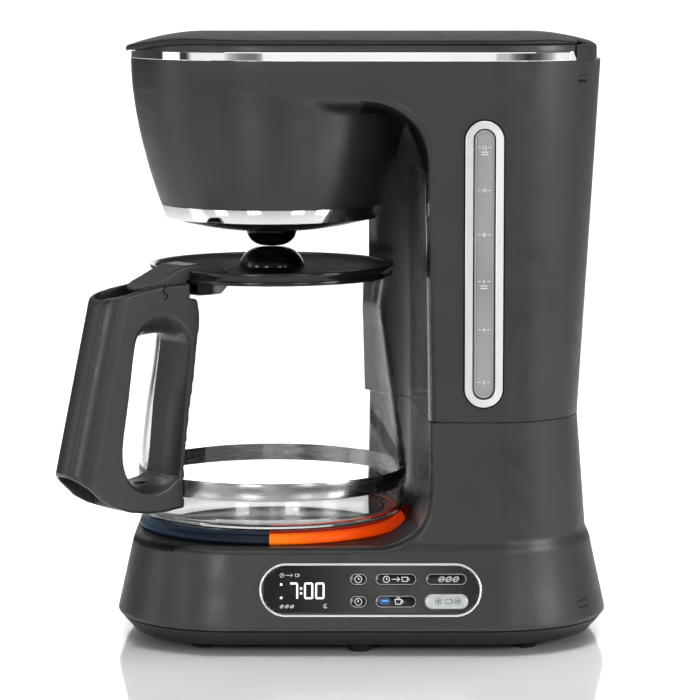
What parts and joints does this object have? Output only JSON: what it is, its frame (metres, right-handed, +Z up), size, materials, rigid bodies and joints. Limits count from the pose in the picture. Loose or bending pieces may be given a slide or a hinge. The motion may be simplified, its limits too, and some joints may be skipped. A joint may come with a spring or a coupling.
{
  "type": "programmable coffee maker",
  "caption": "Drip coffee maker with a water tank column, round brew head, hinged top lid, push-button clock panel, warming plate and lift-out glass carafe.",
  "frame": {"origin": "centre of the whole outline, carafe handle included, at the height of the counter", "axes": "+Z up; -Y is the side with the control panel; +X is the side with the water tank"},
  "size_m": [0.3046, 0.2012, 0.3375],
  "materials": {
    "housing_plastic": "satin moulded plastic, charcoal grey",
    "black_plastic": "satin moulded plastic, near black",
    "gloss_black": "polished black plastic",
    "panel_black": "polished black panel",
    "key_silver": "silver key, lit",
    "bright_chrome": "bright plated trim",
    "band_steel": "brushed stainless band",
    "screw_steel": "plain steel",
    "foot_rubber": "matt black rubber",
    "plate_coating": "dark non-stick coating",
    "ring_colour": "glowing orange on one half and dark blue on the other",
    "element_aluminium": "cast aluminium",
    "white_ceramic": "white ceramic",
    "silicone_hose": "translucent silicone",
    "white_plastic": "plain white plastic",
    "tank_plastic": "smoky translucent plastic",
    "window_plastic": "frosted translucent plastic",
    "display": "dark display behind the panel",
    "board_green": "circuit board",
    "carafe_glass": "clear borosilicate glass"
  },
  "bodies": {
    "housing": {"bottom_cover": "housing_plastic", "rubber_feet": "foot_rubber", "bottom_screws": "screw_steel", "base_housing": "housing_plastic", "warming_plate": "plate_coating", "warming_plate_ring": "ring_colour", "heating_element": "element_aluminium", "thermostat": "white_ceramic", "thermal_fuse": "white_ceramic", "cold_water_hose": "silicone_hose", "check_valve": "white_plastic", "riser_tube": "silicone_hose", "shower_head": "black_plastic", "water_tank": "tank_plastic", "upper_housing": "housing_plastic", "window_lens": "window_plastic", "window_frame": "bright_chrome", "top_trim_band": "bright_chrome", "top_frame": "housing_plastic", "brew_head_ring": "bright_chrome", "brew_head_floor": "black_plastic", "filter_basket": "black_plastic", "drip_stop_spring": "screw_steel", "control_fascia": "panel_black", "panel_bezel": "bright_chrome", "display_module": "display", "control_board": "board_green", "cord_gland": "black_plastic", "lid_hinge_pin": "screw_steel"},
    "check_ball": {"check_ball": "white_plastic"},
    "drip_stop": {"drip_stop_plunger": "gloss_black", "drip_stop_seal": "foot_rubber"},
    "hour_key": {"hour_button": "panel_black"},
    "minute_key": {"minute_button": "panel_black"},
    "delay_key": {"delay_button": "panel_black"},
    "brew_key": {"brew_button": "panel_black"},
    "strength_key": {"strength_button": "panel_black"},
    "iced_key": {"iced_button": "key_silver"},
    "top_lid": {"lid_shell": "housing_plastic", "lid_liner": "black_plastic"},
    "carafe": {"carafe_glass": "carafe_glass", "carafe_band": "band_steel", "carafe_handle": "housing_plastic", "handle_screw": "screw_steel", "carafe_lid": "black_plastic", "carafe_lid_dome": "gloss_black", "carafe_lid_pin": "screw_steel"}
  },
  "joints": [
    {"name": "lid_hinge", "type": "hinge", "parent": "housing", "child": "top_lid", "pos_m": [0.13831, 0.00258, 0.3285], "axis": [0, 1, 0], "range_deg": [0, 100]},
    {"name": "carafe_slide", "type": "slide", "parent": "housing", "child": "carafe", "axis": [-0.7547, -0.6561, 0], "range_m": [0, 0.25]},
    {"name": "drip_stop_lift", "type": "slide", "parent": "housing", "child": "drip_stop", "axis": [0, 0, 1], "range_m": [0, 0.004], "stiffness_N_per_m": 250, "springref_m": -0.003, "deforming": ["drip_stop_spring"]},
    {"name": "check_ball_lift", "type": "slide", "parent": "housing", "child": "check_ball", "axis": [0, 0, 1], "range_m": [0, 0.004]},
    {"name": "hour_press", "type": "slide", "parent": "housing", "child": "hour_key", "axis": [0, 0.9763, -0.2164], "range_m": [0, 0.0008], "stiffness_N_per_m": 400},
    {"name": "minute_press", "type": "slide", "parent": "housing", "child": "minute_key", "axis": [0, 0.9763, -0.2164], "range_m": [0, 0.0008], "stiffness_N_per_m": 400},
    {"name": "delay_press", "type": "slide", "parent": "housing", "child": "delay_key", "axis": [0, 0.9763, -0.2164], "range_m": [0, 0.0008], "stiffness_N_per_m": 400},
    {"name": "brew_press", "type": "slide", "parent": "housing", "child": "brew_key", "axis": [0, 0.9763, -0.2164], "range_m": [0, 0.0008], "stiffness_N_per_m": 400},
    {"name": "strength_press", "type": "slide", "parent": "housing", "child": "strength_key", "axis": [0, 0.9763, -0.2164], "range_m": [0, 0.0008], "stiffness_N_per_m": 400},
    {"name": "iced_press", "type": "slide", "parent": "housing", "child": "iced_key", "axis": [0, 0.9763, -0.2164], "range_m": [0, 0.0008], "stiffness_N_per_m": 400}
  ]
}
